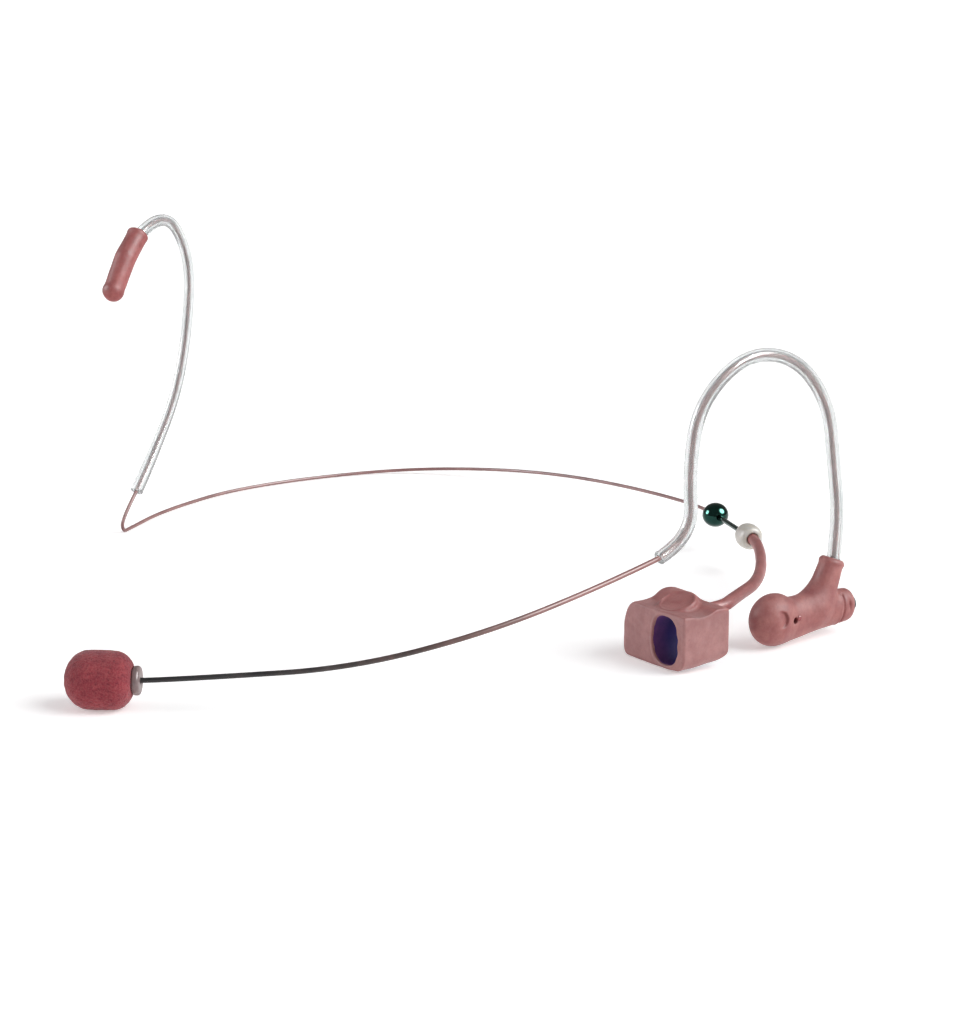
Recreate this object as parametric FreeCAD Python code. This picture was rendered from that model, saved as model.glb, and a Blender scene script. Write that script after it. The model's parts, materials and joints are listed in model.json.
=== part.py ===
import FreeCAD, Part
import math
import os

# Two-ear headset microphone, laid out as it is worn: the left ear is the near
# unit, the right ear the far one. Millimetres, +X to the wearer's left,
# +Y to the back of the head, +Z up, standing on the plane z = 0.
#
# The routes below are measured from the datum: the foot of the line through
# the middle of the junction moulding's bulb. shifted() brings every piece
# into the part's frame, whose origin is the middle of the footprint.

V = FreeCAD.Vector

# ---- driving dimensions ------------------------------------------------
FOOTPRINT_MIDDLE = V(-93.05, -48.2, 0)   # datum to the part's origin

TUBE_OD = 2.9            # clear ear tubes
TUBE_ID = 1.6
BOOM_D = 1.1             # boom and the wire inside the near ear tube
BAND_D = 0.9             # spring wire behind the head
FINE_GAP = 0.1           # soft parts and push fits, each side
RUNNING_GAP = 0.05       # rod in its bushing and in the ball, each side

AXIS_Z = 6.2             # height of the moulding's and the slot's axis
BULB_R = 5.6             # bulb of the junction moulding, seen from the side
BULB_NOSE = -5.3         # its front end
FLATTENING = 0.76        # the moulding is thinner from ear to head
WAIST_R = 4.6
BOSS_R = 3.6
BOSS_END_Y = 22.9
GROOVE_Y = 18.8
DETENT_R = 1.9
CRIMP_R = 1.1            # sleeve on the ear wire
CRIMP_LENGTH = 2.2
GLAND_R = 1.7            # bush round the cable
GLAND_BORE = 0.75
GLAND_START_Y = 17.4
BOARD = V(0.8, 6.0, 3.0)
BOARD_Y = 9.0
NECK_FOOT = V(0, 13.0, 6.1)
NECK_RIM = V(0, 17.0, 16.8)
NECK_FOOT_R = 3.7
NECK_R = 2.6

SLOT_CLEARANCE = 0.1     # slot over bulb, each side
LINER = 0.3
BLOCK_LEFT = -15.5
BLOCK_RIGHT = 5.8
BLOCK_FRONT = -29.2
BLOCK_BACK = -16.4
BLOCK_HEIGHT = 12.9
BLOCK_ROUND = 2.8        # left end
BLOCK_BACK_ROUND = 2.5   # back edges across the block
SCOOP_R = 7.6            # hollow across the top at the right end
SCOOP_DEPTH = 1.4
DOME_R = 4.0             # round ridge on top, beside the scoop
DOME_MIDDLE = V(-6.6, -22.4, 10.6)
DOME_RUN = 6.4
FACET_TILT = 22          # slant of the ridge's flat, degrees

FOAM_R = 5.9
FOAM_LENGTH = 13.4
MIC_ANGLE = 231.7        # heading of the capsule, degrees from +X
MIC_START = V(-40.0, -129.8, 5.9)
COLLAR_R = 3.0
COLLAR_LENGTH = 1.9
COLLAR_ROUND = 0.45
HOUSING_R = 2.2
HOUSING_LENGTH = 6.6
HOUSING_WALL = 0.3
HOUSING_FLOOR = 0.8
GRILLE = 0.5
GRILLE_HOLE_R = 0.28
GRILLE_RING_R = 1.1
BOOM_GAP = 0.35          # between the tube's mouth and the boom's first point

BAND_TUBE_OD = 2.5
BAND_TUBE_ID = 1.5
ROD_D = 1.2
ROD_ANGLE = 160.8        # heading of the rod, degrees from +X
ROD_START = 0.5          # rod's near end, past the collar's near face
ROD_DEPTH = 0.8          # how far the rod's far end stops short of the ball's middle
BUSH_R = 1.0
BAND_COLLAR_R = 2.9
BAND_COLLAR_LENGTH = 5.8
BAND_COLLAR_ROUND = 1.3
BALL_R = 3.1
BALL_REACH = 24.4        # ball's middle, from the collar's near face
WIRE_START = 1.2         # band wire's near end, from the ball's middle

CAP_R = 2.55
CAP_BALL_R = 2.65
TIP_R = 1.0              # bead on the wire's end
TIP_LENGTH = 1.4

# ---- routes, as control points ------------------------------------------
NEAR_HOOK = [V(0, -31.5, 24.6), V(0, -22.6, 27.7), V(0, -23.9, 41.6), V(0, -21.9, 55.4),
             V(0, -9.9, 64.9), V(0, 4.3, 63.0), V(0, 14.2, 52.1), V(0, 16.4, 38.2),
             V(0, 18.5, 24.4), V(0, 16.6, 12.5)]

BOOM = [V(0, -31.5, 24.6), V(-0.8, -44.8, 20.9), V(-2.7, -72.8, 15.3),
        V(-13.8, -97.7, 10.1), V(-31.5, -119.3, 7.5), MIC_START]

BAND_TUBE = [V(-7.0, -22.0, 9.0), V(-5.6, -9.5, 9.0), V(-9.6, -2.6, 9.1),
             V(-17.6, 12.4, 9.1), V(-40.9, 32.5, 9.2), V(-46.6, 34.5, 9.2)]

FAR_START = V(-169.8, -63.6, 9.7)
BAND = [V(-80.7, 46.9, 8.8), V(-123.5, 47.4, 6.9), V(-161.0, 44.3, 3.0),
        V(-187.5, 24.4, 0.5), V(-192.9, -18.7, 0.5), V(-181.5, -49.3, 0.5),
        V(-169.0, -66.5, 0.5), V(-167.4, -68.9, 0.5), V(-167.2, -69.3, 3.6), FAR_START]

FAR_HOOK = [FAR_START, V(-172.3, -58.2, 16.1), V(-176.9, -48.1, 30.4),
            V(-179.2, -42.9, 45.9), V(-180.4, -40.3, 66.5), V(-175.7, -50.6, 80.9),
            V(-170.6, -62.0, 72.5)]

END_CAP = [V(-171.7, -59.5, 74.9), V(-169.4, -64.6, 69.4), V(-167.3, -69.3, 61.8)]


# ---- helpers -------------------------------------------------------------
def heading(degrees):
    angle = math.radians(degrees)
    return V(math.cos(angle), math.sin(angle), 0)


MIC_AXIS = heading(MIC_ANGLE)
ROD_AXIS = heading(ROD_ANGLE)
COLLAR_START = V(-45.4, 34.1, 9.2)
BALL_MIDDLE = COLLAR_START + ROD_AXIS * BALL_REACH


def unit(vector):
    return vector / vector.Length


def rounded_path(points):
    """Straight runs joined by tangent arcs, one arc at each inner point."""
    edges = []
    start = points[0]
    for before, corner, after in zip(points, points[1:], points[2:]):
        into = unit(corner - before)
        out = unit(after - corner)
        reach = 0.45 * min((corner - before).Length, (after - corner).Length)
        first = corner - into * reach
        last = corner + out * reach
        half_turn = into.getAngle(out) / 2
        radius = reach / math.tan(half_turn)
        inward = unit(out - into)
        middle = corner + inward * (radius / math.cos(half_turn) - radius)
        edges.append(Part.LineSegment(start, first).toShape())
        edges.append(Part.Arc(first, middle, last).toShape())
        start = last
    edges.append(Part.LineSegment(start, points[-1]).toShape())
    return edges


def extended(edges, direction, length):
    """The same path with one more straight run at its end."""
    end = edges[-1].Vertexes[-1].Point
    return edges + [Part.LineSegment(end, end + direction * length).toShape()]


def sweep(edges, diameter, start, direction):
    circle = Part.makeCircle(diameter / 2, start, direction)
    section = Part.Wire([circle])
    return Part.Wire(edges).makePipeShell([section], True, False)


def swept(points, diameter, extra=0.0):
    """A round rod along the points, running on straight by extra."""
    edges = rounded_path(points)
    if extra > 0:
        edges = extended(edges, unit(points[-1] - points[-2]), extra)
    return sweep(edges, diameter, points[0], points[1] - points[0])


def hollow(points, outer, inner):
    return swept(points, outer).cut(swept(points, inner))


def rod(start, direction, radius, length):
    return Part.makeCylinder(radius, length, start, direction)


def ring(start, direction, radius, bore, length):
    return rod(start, direction, radius, length).cut(rod(start, direction, bore, length))


def oval_prism(half_width, half_height, front, back):
    """An upright oval about the slot's axis, drawn along Y."""
    centre = V(0, front, AXIS_Z)
    ellipse = Part.Ellipse(centre + V(0, 0, half_height), centre + V(half_width, 0, 0), centre)
    face = Part.Face(Part.Wire([ellipse.toShape()]))
    return face.extrude(V(0, back - front, 0))


# ---- near unit: junction moulding and ear tube ---------------------------
def moulding_body():
    """Bulb, waist and boss turned about Y, then flattened from ear to head."""
    nose = BULB_NOSE
    bulb_middle = nose + BULB_R
    waist_y = bulb_middle + math.sqrt(BULB_R ** 2 - WAIST_R ** 2)
    corner = 1.2
    shoulder = V(0, bulb_middle, BULB_R)
    points = [V(0, waist_y, WAIST_R), V(0, 10.5, 4.4), V(0, 18.8, BOSS_R),
              V(0, BOSS_END_Y - corner, BOSS_R)]
    edges = [Part.Arc(V(0, nose, 0), V(0, bulb_middle - BULB_R * 0.6, BULB_R * 0.8), shoulder)]
    mid_angle = math.acos(WAIST_R / BULB_R) / 2
    lee = V(0, bulb_middle + BULB_R * math.sin(mid_angle), BULB_R * math.cos(mid_angle))
    edges.append(Part.Arc(shoulder, lee, points[0]))
    edges += [Part.LineSegment(a, b) for a, b in zip(points, points[1:])]
    bevel = V(0, BOSS_END_Y - corner + corner * 0.707, BOSS_R - corner + corner * 0.707)
    edges.append(Part.Arc(points[-1], bevel, V(0, BOSS_END_Y, BOSS_R - corner)))
    edges.append(Part.LineSegment(V(0, BOSS_END_Y, BOSS_R - corner), V(0, BOSS_END_Y, 0)))
    edges.append(Part.LineSegment(V(0, BOSS_END_Y, 0), V(0, nose, 0)))
    outline = Part.Face(Part.Wire([edge.toShape() for edge in edges]))
    turned = outline.revolve(V(0, 0, 0), V(0, 1, 0), 360)
    squeeze = FreeCAD.Matrix()
    squeeze.scale(FLATTENING, 1, 1)
    body = turned.transformGeometry(squeeze)
    body.translate(V(0, 0, AXIS_Z))
    return body


def gland_start():
    return V(0, GLAND_START_Y, AXIS_Z)


def cable_gland():
    """Bush in the boss where the cable goes in."""
    return ring(gland_start(), V(0, 1, 0), GLAND_R, GLAND_BORE, BOSS_END_Y - GLAND_START_Y)


def splice_board():
    below_axis = 2.2
    corner = V(-BOARD.x / 2, BOARD_Y, AXIS_Z - below_axis)
    return Part.makeBox(BOARD.x, BOARD.y, BOARD.z, corner)


def wire_crimp():
    """Sleeve that holds the ear wire just below the ear tube."""
    down = unit(NEAR_HOOK[-1] - NEAR_HOOK[-2])
    return ring(NEAR_HOOK[-1], down, CRIMP_R, BOOM_D / 2, CRIMP_LENGTH)


def junction_moulding():
    neck_axis = NECK_RIM - NECK_FOOT
    neck = Part.makeCone(NECK_FOOT_R, NECK_R, neck_axis.Length, NECK_FOOT, neck_axis)
    body = moulding_body().fuse(neck).removeSplitter()
    groove = ring(V(0, GROOVE_Y, AXIS_Z), V(0, 1, 0), 6.0, BOSS_R - 0.35, 0.5)
    marker_hole = rod(V(2.4, 3.8, AXIS_Z + 0.4), V(1, 0, 0), 0.5, 4.0)
    detent_depth = 0.35
    detent_start = V(BULB_R * FLATTENING - detent_depth, -1.0, AXIS_Z + 1.1)
    detent = rod(detent_start, V(1, 0, 0), DETENT_R, 2.0)
    cable_way = rod(gland_start(), V(0, 1, 0), GLAND_R, 10.0)
    for hole in (groove, marker_hole, detent, cable_way, splice_board()):
        body = body.cut(hole)
    down = unit(NEAR_HOOK[-1] - NEAR_HOOK[-2])
    wire_way = swept(NEAR_HOOK, TUBE_OD)
    return body.cut(wire_way).cut(rod(NEAR_HOOK[-1], down, CRIMP_R, CRIMP_LENGTH))


def ear_tube_near():
    return hollow(NEAR_HOOK, TUBE_OD, TUBE_ID)


def ear_wire_near():
    return swept(NEAR_HOOK, BOOM_D, CRIMP_LENGTH)


# ---- boom and capsule -----------------------------------------------------
def mic_point(reach):
    return MIC_START + MIC_AXIS * reach


def boom_wire():
    """Starts just outside the tube, so it can hinge about the tube's mouth."""
    start = BOOM[0] + unit(BOOM[1] - BOOM[0]) * BOOM_GAP
    return swept([start] + BOOM[1:], BOOM_D, COLLAR_LENGTH + HOUSING_FLOOR)


def windscreen_collar():
    collar = ring(mic_point(0), MIC_AXIS, COLLAR_R, BOOM_D / 2, COLLAR_LENGTH)
    rims = [edge for edge in collar.Edges if edge.Length > math.pi * COLLAR_R]
    outer_rims = [edge for edge in rims if abs(edge.Curve.Radius - COLLAR_R) < 0.01]
    collar = collar.makeFillet(COLLAR_ROUND, outer_rims)
    return collar.cut(boom_wire())


def capsule_housing():
    shell = rod(mic_point(COLLAR_LENGTH), MIC_AXIS, HOUSING_R, HOUSING_LENGTH)
    room_start = mic_point(COLLAR_LENGTH + HOUSING_FLOOR)
    room = rod(room_start, MIC_AXIS, HOUSING_R - HOUSING_WALL, HOUSING_LENGTH)
    return shell.cut(room).cut(boom_wire())


def inside_housing(start, length):
    radius = HOUSING_R - HOUSING_WALL
    return rod(mic_point(COLLAR_LENGTH + start), MIC_AXIS, radius, length)


def capsule_seal():
    return inside_housing(1.0, 0.7)


def capsule_board():
    return inside_housing(2.2, 0.5)


def electret_capsule():
    return inside_housing(2.7, 2.8)


def capsule_grille():
    """Disc with one middle hole and a ring of six."""
    disc = inside_housing(HOUSING_LENGTH - GRILLE, GRILLE)
    before = mic_point(COLLAR_LENGTH + HOUSING_LENGTH - 2 * GRILLE)
    through = 4 * GRILLE
    disc = disc.cut(rod(before, MIC_AXIS, GRILLE_HOLE_R, through))
    for index in range(6):
        spin = FreeCAD.Rotation(MIC_AXIS, 60 * index)
        hole = before + spin.multVec(V(0, 0, GRILLE_RING_R))
        disc = disc.cut(rod(hole, MIC_AXIS, GRILLE_HOLE_R, through))
    return disc


def foam_windscreen():
    """Barrel of foam with a blind hole for the capsule."""
    start = mic_point(COLLAR_LENGTH + FINE_GAP)
    barrel = rod(start, MIC_AXIS, FOAM_R, FOAM_LENGTH)
    barrel = barrel.makeFillet(3.6, [e for e in barrel.Edges if len(e.Vertexes) == 1])
    return barrel.cut(rod(start, MIC_AXIS, HOUSING_R + FINE_GAP, HOUSING_LENGTH + 1.0))


# ---- clip that joins the band to the near unit ----------------------------
def slot_half_width():
    return BULB_R * FLATTENING + SLOT_CLEARANCE


def slot_half_height():
    return BULB_R + SLOT_CLEARANCE


def slot_liner():
    inner = oval_prism(slot_half_width(), slot_half_height(), BLOCK_FRONT, BLOCK_BACK)
    outer = oval_prism(slot_half_width() + LINER, slot_half_height() + LINER, BLOCK_FRONT, BLOCK_BACK)
    return outer.cut(inner)


def block_dome():
    """Round ridge on top, its right half sliced off at a slant."""
    ridge = rod(DOME_MIDDLE, V(1, 0, 0), DOME_R, DOME_RUN)
    ridge = ridge.fuse(Part.makeSphere(DOME_R, DOME_MIDDLE))
    far_end = DOME_MIDDLE + V(DOME_RUN, 0, 0)
    ridge = ridge.fuse(Part.makeSphere(DOME_R, far_end))
    facet_middle = V(-2.6, -24.1, 13.4)
    size = 4 * DOME_R
    slice_off = Part.makeBox(size, size, size, facet_middle - V(size / 2, size / 2, 0))
    slice_off.rotate(facet_middle, V(1, 0, 0), FACET_TILT)
    below = Part.makeBox(60, 60, 30, V(-40, -50, 2.0 - 30))
    return ridge.cut(slice_off).cut(below)


def round_edges(box, fits, radius):
    return box.makeFillet(radius, [edge for edge in box.Edges if fits(edge)])


def at_left_end(edge):
    return all(vertex.Point.x < BLOCK_LEFT + 1 for vertex in edge.Vertexes)


def at_back(edge):
    """The back's two edges that run across the block."""
    ends = [vertex.Point for vertex in edge.Vertexes]
    across = abs(ends[0].x - ends[1].x) > 1
    return across and all(point.y > BLOCK_BACK - 1 for point in ends)


def clip_block():
    width = BLOCK_RIGHT - BLOCK_LEFT
    depth = BLOCK_BACK - BLOCK_FRONT
    box = Part.makeBox(width, depth, BLOCK_HEIGHT, V(BLOCK_LEFT, BLOCK_FRONT, 0))
    box = round_edges(box, at_back, BLOCK_BACK_ROUND)
    box = round_edges(box, lambda edge: edge.Length > depth / 2 and at_left_end(edge), BLOCK_ROUND)
    scoop_height = BLOCK_HEIGHT - SCOOP_DEPTH + SCOOP_R
    scoop = rod(V(-0.5, -22.3, scoop_height), V(1, 0, 0), SCOOP_R, 10.0)
    block = box.cut(scoop).fuse(block_dome()).removeSplitter()
    slot = oval_prism(slot_half_width() + LINER, slot_half_height() + LINER,
                      BLOCK_FRONT - 1, BLOCK_BACK + 1)
    return block.cut(slot).cut(swept(BAND_TUBE, BAND_TUBE_OD))


def band_tube():
    return hollow(BAND_TUBE, BAND_TUBE_OD, BAND_TUBE_ID)


def tube_anchor():
    """Barbed pin that keeps the band tube in the block."""
    along = unit(BAND_TUBE[1] - BAND_TUBE[0])
    return rod(BAND_TUBE[0], along, BAND_TUBE_ID / 2, 4.6)


def tube_stop():
    """How deep the band tube reaches into the collar."""
    return (BAND_TUBE[-1] - COLLAR_START).Length


def band_collar():
    barrel = rod(COLLAR_START, ROD_AXIS, BAND_COLLAR_R, BAND_COLLAR_LENGTH)
    barrel = barrel.makeFillet(BAND_COLLAR_ROUND, [e for e in barrel.Edges if len(e.Vertexes) == 1])
    socket = swept(BAND_TUBE, BAND_TUBE_OD)
    bush_start = COLLAR_START + ROD_AXIS * tube_stop()
    bush_way = rod(bush_start, ROD_AXIS, BUSH_R, BAND_COLLAR_LENGTH)
    return barrel.cut(socket).cut(bush_way)


def slide_bushing():
    start = COLLAR_START + ROD_AXIS * tube_stop()
    bore_r = ROD_D / 2 + RUNNING_GAP
    return ring(start, ROD_AXIS, BUSH_R, bore_r, BAND_COLLAR_LENGTH - tube_stop())


# ---- slider, band and far ear hook -----------------------------------------
def slide_rod():
    """From inside the collar to inside the ball."""
    length = BALL_REACH - ROD_DEPTH - ROD_START
    return rod(COLLAR_START + ROD_AXIS * ROD_START, ROD_AXIS, ROD_D / 2, length)


def slide_ball():
    ball = Part.makeSphere(BALL_R, BALL_MIDDLE)
    bore_start = BALL_MIDDLE - ROD_AXIS * (BALL_R + 1)
    bore = rod(bore_start, ROD_AXIS, ROD_D / 2 + RUNNING_GAP, BALL_R + 0.5)
    return ball.cut(bore).cut(band_wire())


def band_points():
    leaving = unit(BAND[0] - BALL_MIDDLE)
    return [BALL_MIDDLE + leaving * WIRE_START] + BAND


def band_wire():
    """One spring wire from the ball to the tip of the far hook."""
    edges = rounded_path(band_points()) + rounded_path(FAR_HOOK)
    edges = extended(edges, unit(FAR_HOOK[-1] - FAR_HOOK[-2]), TIP_LENGTH)
    points = band_points()
    return sweep(edges, BAND_D, points[0], points[1] - points[0])


def ear_tube_far():
    return hollow(FAR_HOOK, TUBE_OD, TUBE_ID)


def wire_tip_crimp():
    along = unit(FAR_HOOK[-1] - FAR_HOOK[-2])
    return ring(FAR_HOOK[-1], along, TIP_R, BAND_D / 2, TIP_LENGTH)


def end_cap_far():
    cap = swept(END_CAP, 2 * CAP_R).fuse(Part.makeSphere(CAP_BALL_R, END_CAP[-1]))
    along = unit(FAR_HOOK[-1] - FAR_HOOK[-2])
    way = swept(FAR_HOOK, TUBE_OD)
    return cap.removeSplitter().cut(way).cut(rod(FAR_HOOK[-1], along, TIP_R, TIP_LENGTH))


# ---- the parts ---------------------------------------------------------------
def shifted(shape):
    moved = shape.copy()
    moved.translate(-FOOTPRINT_MIDDLE)
    return moved


PARTS = [junction_moulding, cable_gland, splice_board, wire_crimp, ear_tube_near, ear_wire_near,
         boom_wire, windscreen_collar, capsule_housing, capsule_seal, capsule_board,
         electret_capsule, capsule_grille, foam_windscreen, clip_block, slot_liner, tube_anchor,
         band_tube, band_collar, slide_bushing, slide_rod, slide_ball, band_wire, ear_tube_far,
         end_cap_far, wire_tip_crimp]

os.makedirs("parts", exist_ok=True)
for make in PARTS:
    shape = shifted(make())
    solids = shape.Solids
    if len(solids) != 1:
        raise ValueError(make.__name__ + " has " + str(len(solids)) + " solids")
    solids[0].exportStep("parts/" + make.__name__ + ".step")
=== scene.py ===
import itertools
import json
import math

import bpy
import numpy as np
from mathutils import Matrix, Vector


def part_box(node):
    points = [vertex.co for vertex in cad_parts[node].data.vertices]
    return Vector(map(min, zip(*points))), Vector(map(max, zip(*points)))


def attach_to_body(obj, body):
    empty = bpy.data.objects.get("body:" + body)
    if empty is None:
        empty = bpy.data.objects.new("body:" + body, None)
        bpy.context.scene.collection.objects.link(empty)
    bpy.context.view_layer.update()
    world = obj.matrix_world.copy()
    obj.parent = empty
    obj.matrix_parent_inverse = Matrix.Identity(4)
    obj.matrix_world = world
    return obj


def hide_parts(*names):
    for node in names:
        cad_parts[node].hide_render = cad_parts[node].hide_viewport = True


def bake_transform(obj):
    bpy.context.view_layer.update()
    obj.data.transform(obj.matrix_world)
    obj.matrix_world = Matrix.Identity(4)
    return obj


# Looks of a two-ear headset microphone. Shapes are worked out in millimetres
# from the datum, the foot of the line through the middle of the moulding's
# bulb, and put into the frame in metres.

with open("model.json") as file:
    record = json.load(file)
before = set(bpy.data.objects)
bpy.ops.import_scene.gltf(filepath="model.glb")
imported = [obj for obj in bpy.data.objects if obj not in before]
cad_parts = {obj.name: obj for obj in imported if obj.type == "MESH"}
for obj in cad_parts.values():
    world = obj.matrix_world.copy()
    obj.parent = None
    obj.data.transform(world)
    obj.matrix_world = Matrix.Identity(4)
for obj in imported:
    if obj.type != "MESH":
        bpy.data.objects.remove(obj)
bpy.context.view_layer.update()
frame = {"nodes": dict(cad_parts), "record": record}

MM = 0.001
NOSE = 5.3                     # from the bulb's front end back to the datum
moulding_low, moulding_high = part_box("junction_moulding")
DATUM = np.array([(moulding_low.x + moulding_high.x) / 2, moulding_low.y + NOSE * MM, 0])

AXIS_Z = 6.2                   # the moulding and the slot share this axis
FLATTENING = 0.76              # bulb's thickness over its height
BOSS_END = 22.9
TUBE_R = 1.45                  # clear ear tubes, outside
NEAR_BORE_R = 0.62
FAR_BORE_R = 0.52
BOOM_R = 0.54
BAND_R = 0.43
BLOCK_LEFT, BLOCK_RIGHT = -15.7, 5.8
BLOCK_FRONT, BLOCK_BACK = -29.2, -16.4
MIC_HEADING = 231.7            # degrees from X, level
ROD_HEADING = 160.8

NEAR_HOOK = [(0, -31.5, 24.6), (0, -22.6, 27.7), (0, -23.9, 41.6), (0, -21.9, 55.4),
             (0, -9.9, 64.9), (0, 4.3, 63.0), (0, 14.2, 52.1), (0, 16.4, 38.2),
             (0, 18.5, 24.4), (0, 16.6, 12.5)]
BOOM = [(0, -31.5, 24.6), (-0.8, -44.8, 20.9), (-2.7, -72.8, 15.1),
        (-13.8, -97.7, 9.4), (-31.5, -119.3, 6.9), (-40.0, -129.8, 5.9)]
BAND_TUBE = [(-7.0, -22.0, 9.0), (-5.6, -9.5, 9.0), (-9.6, -2.6, 9.1),
             (-17.6, 12.4, 9.1), (-40.9, 32.5, 9.2), (-46.6, 34.5, 9.2)]
COLLAR_START = np.array([-45.4, 34.1, 9.2])
BALL_REACH = 24.4              # ball's middle, from the collar's near face
BAND = [(-80.7, 46.9, 8.8), (-123.5, 47.4, 6.9), (-161.0, 44.3, 3.0),
        (-187.5, 24.4, 0.5), (-192.9, -18.7, 0.5), (-181.5, -49.3, 0.5),
        (-169.0, -66.5, 0.5), (-167.4, -68.9, 0.5), (-167.2, -69.3, 3.6), (-169.8, -63.6, 9.7)]
FAR_HOOK = [(-169.8, -63.6, 9.7), (-172.3, -58.2, 16.1), (-176.9, -48.1, 30.4),
            (-179.2, -42.9, 45.9), (-180.4, -40.3, 66.5), (-175.7, -50.6, 80.9),
            (-170.6, -62.0, 72.5)]
CAP_ROUTE = [(-171.7, -59.5, 74.9), (-169.4, -64.6, 69.4), (-167.3, -69.3, 61.8)]


# ---- vectors ---------------------------------------------------------------
def vec(*numbers):
    return np.array(numbers, float)


def unit(vector):
    return vector / np.linalg.norm(vector)


def heading(degrees):
    return vec(math.cos(math.radians(degrees)), math.sin(math.radians(degrees)), 0)


MIC_AXIS = heading(MIC_HEADING)
ROD_AXIS = heading(ROD_HEADING)
MIC_START = vec(*BOOM[-1])
BALL_MIDDLE = COLLAR_START + ROD_AXIS * BALL_REACH


def placed(points):
    """Millimetres from the datum to metres in the frame."""
    return np.asarray(points, float) * MM + DATUM


# ---- fields: distance to a solid in millimetres, negative inside -----------
def blend_min(a, b, width):
    """Union of two solids with a fillet."""
    share = np.clip(0.5 + 0.5 * (b - a) / width, 0, 1)
    return b + (a - b) * share - width * share * (1 - share)


def blend_max(a, b, width):
    """What two solids share, with rounded edges."""
    return -blend_min(-a, -b, width)


def ball(p, centre, radius):
    return np.linalg.norm(p - np.array(centre), axis=-1) - radius


def taper(p, start, end, start_r, end_r):
    """Round-ended rod that goes from one radius to another."""
    start, along = np.array(start, float), np.array(end, float) - np.array(start, float)
    share = np.clip(((p - start) @ along) / (along @ along), 0, 1)
    axis_point = start + share[..., None] * along
    return np.linalg.norm(p - axis_point, axis=-1) - start_r - (end_r - start_r) * share


def bore(p, start, along, radius):
    """Endless rod, for holes."""
    offset = p - np.array(start)
    along = unit(np.array(along, float))
    return np.linalg.norm(offset - (offset @ along)[..., None] * along, axis=-1) - radius


def beyond(p, point, normal):
    """Half space: negative on the side that the normal points away from."""
    return (p - np.array(point)) @ unit(np.array(normal, float))


def plate(u, v, low, high, corners):
    """Rectangle in two coordinates; corners are the radii at (low u, low v), (high u, low v),
    (low u, high v) and (high u, high v)."""
    middle = [(a + b) / 2 for a, b in zip(low, high)]
    right, top = u > middle[0], v > middle[1]
    radius = np.where(top, np.where(right, corners[3], corners[2]),
                      np.where(right, corners[1], corners[0]))
    du = np.abs(u - middle[0]) - (high[0] - low[0]) / 2 + radius
    dv = np.abs(v - middle[1]) - (high[1] - low[1]) / 2 + radius
    outside = np.hypot(np.maximum(du, 0), np.maximum(dv, 0))
    return outside + np.minimum(np.maximum(du, dv), 0) - radius


def ripple(p, size, seed):
    """Soft unevenness from -1 to 1, with lumps about size millimetres across."""
    rng = np.random.default_rng(seed)
    total = np.zeros(p.shape[:-1])
    waves = 9
    for _ in range(waves):
        along = unit(rng.normal(size=3)) * rng.uniform(0.6, 1.4) * math.pi / size
        total += np.sin(p @ along + rng.uniform(0, 2 * math.pi))
    return total / waves ** 0.5 / 1.6


def hump(distance, width):
    return np.exp(-(distance / width) ** 2)


def step(value, low, high):
    """0 below low, 1 above high, smooth in between."""
    share = np.clip((value - low) / (high - low), 0, 1)
    return share * share * (3 - 2 * share)


# ---- meshes ------------------------------------------------------------------
def settle(field, points, limit):
    """Moves points onto the surface where the field is zero."""
    reach = 0.02
    for _ in range(3):
        slopes = [field(points + push) - field(points - push) for push in np.eye(3) * reach]
        slope = np.stack(slopes, -1) / (2 * reach)
        size = np.maximum((slope ** 2).sum(-1), 0.05)
        move = slope * (field(points) / size)[:, None]
        length = np.linalg.norm(move, axis=-1, keepdims=True)
        points = points - move * np.minimum(1, limit / np.maximum(length, 1e-9))
    return points


def evened(field, points, quads, cell):
    """Spreads the points evenly over the surface."""
    for _ in range(3):
        middles = points[quads].mean(1)
        total = np.zeros_like(points)
        count = np.zeros(len(points))
        for corner in range(4):
            np.add.at(total, quads[:, corner], middles)
            np.add.at(count, quads[:, corner], 1)
        points = settle(field, total / count[:, None], cell / 2)
    return points


def skin(field, low, high, cell):
    """Quads over the surface where the field is zero, with one point to each crossed cell."""
    low = np.array(low, float)
    counts = np.ceil((np.array(high) - low) / cell).astype(int) + 1
    axes = [low[i] + cell * np.arange(counts[i]) for i in range(3)]
    inside = field(np.stack(np.meshgrid(*axes, indexing="ij"), -1)) < 0
    cells = counts - 1
    filled = np.zeros(cells, int)
    for corner in itertools.product((0, 1), repeat=3):
        window = tuple(slice(c, c + n) for c, n in zip(corner, cells))
        filled += inside[window]
    crossed = (filled > 0) & (filled < 8)
    number = np.full(cells, -1)
    number[crossed] = np.arange(crossed.sum())
    points = low + (np.argwhere(crossed) + 0.5) * cell
    quads = []
    for axis in range(3):
        near = np.take(inside, range(counts[axis] - 1), axis)
        far = np.take(inside, range(1, counts[axis]), axis)
        at = np.argwhere(near != far)
        second, third = np.eye(3, dtype=int)[(axis + 1) % 3], np.eye(3, dtype=int)[(axis + 2) % 3]
        around = [at, at - second, at - second - third, at - third]
        ring = np.stack([number[tuple(spot.T)] for spot in around], -1)
        outward = near[tuple(at.T)]
        quads.append(np.where(outward[:, None], ring, ring[:, ::-1]))
    quads = np.concatenate(quads)
    points = settle(field, points, cell)
    return evened(field, points, quads, cell), quads


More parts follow.
